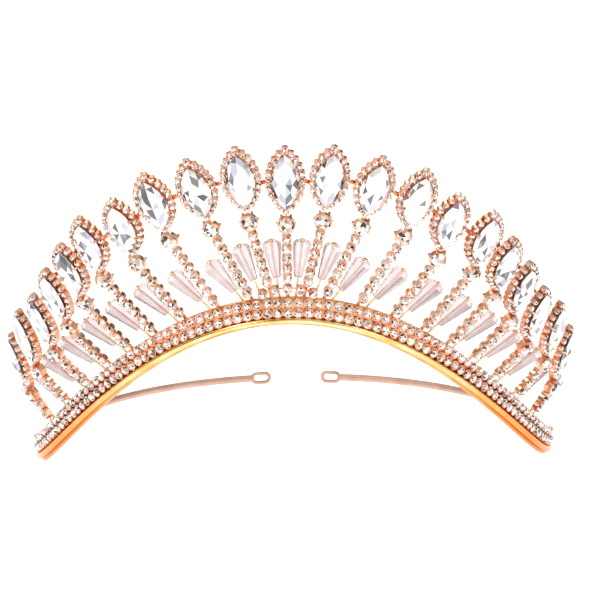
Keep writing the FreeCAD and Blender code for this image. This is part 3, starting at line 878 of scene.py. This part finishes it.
def build_stone_rows():
    """The two rows of chain on the strip, and the short crest chain above its middle."""
    cup = cup_mesh("row_cup", row_cup_diameter, row_cup_height, 10)
    stone = small_brilliant("row_stone", row_cup_diameter, row_cup_height)
    dice = random.Random(11)
    lowest = rim_wire_height + rim_wire_diameter / 2 + solder_gap + row_cup_diameter / 2
    for row, height in (("lower", lowest), ("upper", lowest + row_pitch)):
        cups = bmesh.new()
        stones = stone_tray()
        for azimuth in azimuths_along(height, row_pitch, row_end_margin + row_cup_diameter / 2):
            place = place_at(band_point(azimuth, height, solder_gap), along_at(azimuth), outward_at(azimuth))
            add_copy(cups, cup, place)
            add_copy(stones, stone, place @ Matrix.Rotation(dice.random(), 4, "Z"), dice)
        finish_piece(row + "_row_chain", cups, rose_gold, [row + "_row_cups"])
        finish_piece(row + "_row_chatons", stones, clear_stone, [row + "_row_stones"])

    cups = bmesh.new()
    stones = stone_tray()
    half = (crest_cups - 1) / 2
    low_centre = crest_lift + row_cup_diameter / 2
    link_out = crest_link_diameter / 2 + crest_link_inset
    links = []
    for n in range(crest_cups):
        share = (n - half) / half
        height = low_centre + crest_arch * (1 - share ** 2)
        azimuth = math.degrees((n - half) * crest_pitch / head_radius)
        rise = leaning(azimuth, math.degrees(math.atan(fall_at(azimuth))), crest_flare)
        face = facing(rise, azimuth)
        foot = band_point(azimuth, strip_width, 0) + face * crest_standoff
        place = place_at(foot + rise * height, rise.cross(face), face)
        add_copy(cups, cup, place)
        add_copy(stones, stone, place, dice)
        links.append(foot + rise * height + face * link_out)
        if abs(share) == 1:
            post_foot = foot + rise * crest_post_lift + face * link_out
            rod_between(cups, post_foot, links[-1], crest_link_diameter, sides=8)
    for start, end in zip(links, links[1:]):
        rod_between(cups, start, end, crest_link_diameter, sides=8)
    finish_piece("crest_chain", cups, rose_gold, ["crest_row_cups"])
    finish_piece("crest_chatons", stones, clear_stone, ["crest_row_stones"])


# ---------------------------------------------------------------- sprays
def build_sprays():
    """Each spray's metal is one piece and its marquise another; the other stones of a kind share a piece."""
    stem_cup = cup_mesh("stem_cup", stem_cup_diameter, stem_cup_height, 10)
    halo_cup = cup_mesh("halo_cup", halo_cup_diameter, halo_cup_height, 8)
    stem_stone = small_brilliant("stem_stone", stem_cup_diameter, stem_cup_height)
    halo_stone = small_brilliant("halo_stone", halo_cup_diameter, halo_cup_height)
    big_stone = round_brilliant("round_stone", round_cup_diameter, round_cup_height)
    setting = round_setting_mesh()
    tray = tray_mesh()
    plate = halo_mesh()
    marquise = marquise_mesh()
    dice = random.Random(29)
    stem_stones = stone_tray()
    round_stones = stone_tray()
    halo_stones = stone_tray()
    for spray in sprays[:spray_count_a_side + 1]:
        if spray.index == 0:
            sides = [("middle", Matrix.Identity(4))]
        else:
            sides = [("left_%02d" % spray.index, Matrix.Identity(4)), ("right_%02d" % spray.index, MIRROR)]
        for side, mirror in sides:
            bm = bmesh.new()
            for n in range(stem_cups[spray.index]):
                place = mirror @ spray.stem_place(foot_length[spray.index] + (n + 0.5) * stem_pitch)
                add_copy(bm, stem_cup, place)
                add_copy(stem_stones, stem_stone, place @ Matrix.Rotation(dice.random(), 4, "Z"), dice)
            rod_between(bm, mirror @ spray.foot, mirror @ spray.stem_point(spray.stem_length),
                        stem_link_diameter)
            round_place = mirror @ spray.round_place()
            add_copy(bm, setting, round_place)
            add_copy(round_stones, big_stone, round_place, dice)
            head_place = mirror @ spray.head_place()
            add_copy(bm, tray, head_place)
            add_copy(bm, plate, head_place)
            for p in halo_points:
                place = head_place @ Matrix.Translation(p)
                add_copy(bm, halo_cup, place)
                add_copy(halo_stones, halo_stone, place @ Matrix.Rotation(dice.random(), 4, "Z"), dice)
            finish_piece("spray_%s_settings" % side, bm, rose_gold, ["spray_" + side])
            bm = stone_tray()
            add_copy(bm, marquise, head_place, dice)
            finish_piece("marquise_%s_cut" % side, bm, marquise_glass, ["marquise_" + side])
    finish_piece("stem_chatons", stem_stones, clear_stone, ["stem_stones"])
    finish_piece("round_brilliants", round_stones, clear_stone, ["round_stones"])
    finish_piece("halo_chatons", halo_stones, clear_stone, ["halo_stones"])


def build_ties():
    """Drops of solder where one halo comes nearest to the next."""
    bm = bmesh.new()
    for inner, outer in zip(sprays, sprays[1:spray_count_a_side + 1]):
        start, end = nearest_cups(inner, outer)
        reach = (end - start).normalized() * (halo_cup_diameter / 2 + tie_clearance)
        for mirror in (Matrix.Identity(4), MIRROR):
            rod_between(bm, mirror @ (start + reach), mirror @ (end - reach), tie_diameter)
    finish_piece("halo_solder", bm, solder, ["halo_solder_ties"])


def build_crystals():
    """A crystal on its head pin between each two stems, and one outside the last."""
    crystal = crystal_mesh()
    crystals = bmesh.new()
    pins = bmesh.new()
    for inner, outer in zip(sprays, sprays[1:]):
        bunched = foot_length[inner.index] > foot_length[-1]
        foot_share = crystal_outer_share if bunched else crystal_inner_share
        start = crystal_foot_middle if bunched else crystal_foot
        reach = start + crystal_length
        foot = inner.foot.lerp(outer.foot, foot_share)
        top = inner.stem_point(reach).lerp(outer.stem_point(reach), crystal_outer_share)
        between = (inner.azimuth + outer.azimuth) / 2
        top -= facing((top - foot).normalized(), between) * crystal_set_back[inner.index]
        direction = (top - foot).normalized()
        face = facing(direction, between)
        place = place_at(foot, direction.cross(face), direction)
        neck_at = start + crystal_length + solder_gap
        neck = foot + direction * neck_at
        head = foot + direction * (neck_at + pin_head_height)
        for mirror in (Matrix.Identity(4), MIRROR):
            add_copy(crystals, crystal, mirror @ place @ moved(z=start))
            rod_between(pins, mirror @ foot, mirror @ neck, pin_diameter)
            rod_between(pins, mirror @ neck, mirror @ head, pin_head_diameter, sides=14)
    finish_piece("tapered_crystal_beads", crystals, pink_crystal, ["tapered_crystals"])
    finish_piece("crystal_head_pins", pins, bright_gold, ["crystal_pins"], 40)


# ---------------------------------------------------------------- side arms
def build_arms():
    """One continuous wire a side, from behind the band's end to its eyelet."""
    radius = head_radius - strip_thickness - solder_gap - arm_wire_diameter / 2

    def arm_point(azimuth):
        return outward_at(azimuth) * radius + Z_AXIS * arm_height

    def arm_place(azimuth):
        return place_at(arm_point(azimuth), Z_AXIS, around_at(azimuth))

    reach = arm_end_azimuth - arm_solder_azimuth
    wire = [arm_place(arm_solder_azimuth + reach * i / arm_steps) for i in range(arm_steps + 1)]

    ring_azimuth = arm_end_azimuth + math.degrees((eyelet_length - eyelet_wire_diameter) / 2 / radius)
    eyelet_place = place_at(arm_point(ring_azimuth), around_at(ring_azimuth), outward_at(ring_azimuth))
    tube = eyelet_wire_diameter / 2
    bend = eyelet_width / 2 - tube
    straight = (eyelet_length - eyelet_width) / 2
    eyelet = []
    for n in range(eyelet_steps):
        angle = 2 * math.pi * n / eyelet_steps
        centre = Vector((math.copysign(straight, math.cos(angle)), 0, 0))
        out = Vector((math.cos(angle), math.sin(angle), 0))
        eyelet.append(eyelet_place @ place_at(centre + out * bend, out, Vector((-out.y, out.x, 0))))

    for side, mirror in (("left", Matrix.Identity(4)), ("right", MIRROR)):
        bm = bmesh.new()
        sweep(bm, ring_of(bm, arm_wire_diameter / 2, 12, wire[0]), wire[0], wire[1:])
        sweep(bm, ring_of(bm, tube, 10, eyelet[0]), eyelet[0], eyelet[1:] + eyelet[:1], closed=True)
        bmesh.ops.transform(bm, matrix=mirror, verts=bm.verts)
        bmesh.ops.recalc_face_normals(bm, faces=bm.faces)
        nodes = [side + "_arm", "arm_roots"]
        piece = finish_piece(side + "_arm_wire", bm, arm_gold, nodes, 50, body=None)
        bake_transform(piece)


build_strip()
build_rim_wire()
build_stone_rows()
build_sprays()
build_ties()
build_crystals()
build_arms()


# ---------------------------------------------------------------- floor, light and camera
floor_size = 4.0
floor_drop = 0.0002

floor_finish, _, _, floor_shader = new_material("pale_floor")
floor_shader.inputs["Base Color"].default_value = (0.93, 0.93, 0.93, 1)
floor_shader.inputs["Roughness"].default_value = 0.6
floor_shader.inputs["Emission Color"].default_value = (1, 1, 1, 1)
floor_shader.inputs["Emission Strength"].default_value = 0.72
floor_mesh = bpy.data.meshes.new("floor")
bm = bmesh.new()
bmesh.ops.create_grid(bm, x_segments=1, y_segments=1, size=floor_size)
bmesh.ops.translate(bm, vec=(0, 0, cad_box[0][2] - floor_drop), verts=bm.verts)
bm.to_mesh(floor_mesh)
bm.free()
floor_mesh.materials.append(floor_finish)
floor = bpy.data.objects.new("floor", floor_mesh)
bpy.context.scene.collection.objects.link(floor)

world = bpy.data.worlds.new("studio")
world.use_nodes = True
sky_nodes = world.node_tree.nodes
sky_links = world.node_tree.links
sky = sky_nodes["Background"]
sky.inputs["Strength"].default_value = 0.8
sky_place = sky_nodes.new("ShaderNodeTexCoord")
sky_patches = sky_nodes.new("ShaderNodeTexNoise")
sky_patches.inputs["Scale"].default_value = 3.2
sky_patches.inputs["Detail"].default_value = 1
sky_tones = ramp(sky_nodes, ((0.43, (0.03, 0.025, 0.02)), (0.53, (1.0, 1.0, 1.0))))
sky_links.new(sky_place.outputs["Generated"], sky_patches.inputs["Vector"])
sky_links.new(sky_patches.outputs["Fac"], sky_tones.inputs["Fac"])
sky_links.new(sky_tones.outputs["Color"], sky.inputs["Color"])
bpy.context.scene.world = world


def soft_box(name, place, size, power):
    """Rectangular lamp in metres and watts, turned to the middle of the tiara."""
    light = bpy.data.lights.new(name, "AREA")
    light.shape = "RECTANGLE"
    light.size, light.size_y = size
    light.energy = power
    lamp = bpy.data.objects.new(name, light)
    lamp.location = place
    aim = Vector((0, 0, 0.04))
    lamp.rotation_euler = (aim - lamp.location).to_track_quat("-Z", "Y").to_euler()
    bpy.context.scene.collection.objects.link(lamp)


soft_box("key_box", (-0.5, -0.6, 0.7), size=(0.3, 0.3), power=2.0)
soft_box("fill_box", (0.6, -0.5, 0.35), size=(0.2, 0.35), power=0.7)
soft_box("top_box", (0.0, 0.1, 0.9), size=(0.5, 0.25), power=1.2)

camera_place = Vector((10.93, -835.10, 225.14)) * MM
camera_aim = Vector((2.28, 0.0, 41.11)) * MM
camera_roll = -0.94
camera_data = bpy.data.cameras.new("camera")
camera_data.lens = 191.4
camera_data.sensor_width = 36
camera_data.clip_start = 0.01
camera_data.clip_end = 20
camera = bpy.data.objects.new("camera", camera_data)
look = (camera_aim - camera_place).to_track_quat("-Z", "Y").to_matrix().to_4x4()
camera.matrix_world = Matrix.Translation(camera_place) @ look @ Matrix.Rotation(rad(camera_roll), 4, "Z")
bpy.context.scene.collection.objects.link(camera)
bpy.context.scene.camera = camera
bpy.context.scene.view_settings.view_transform = "Standard"
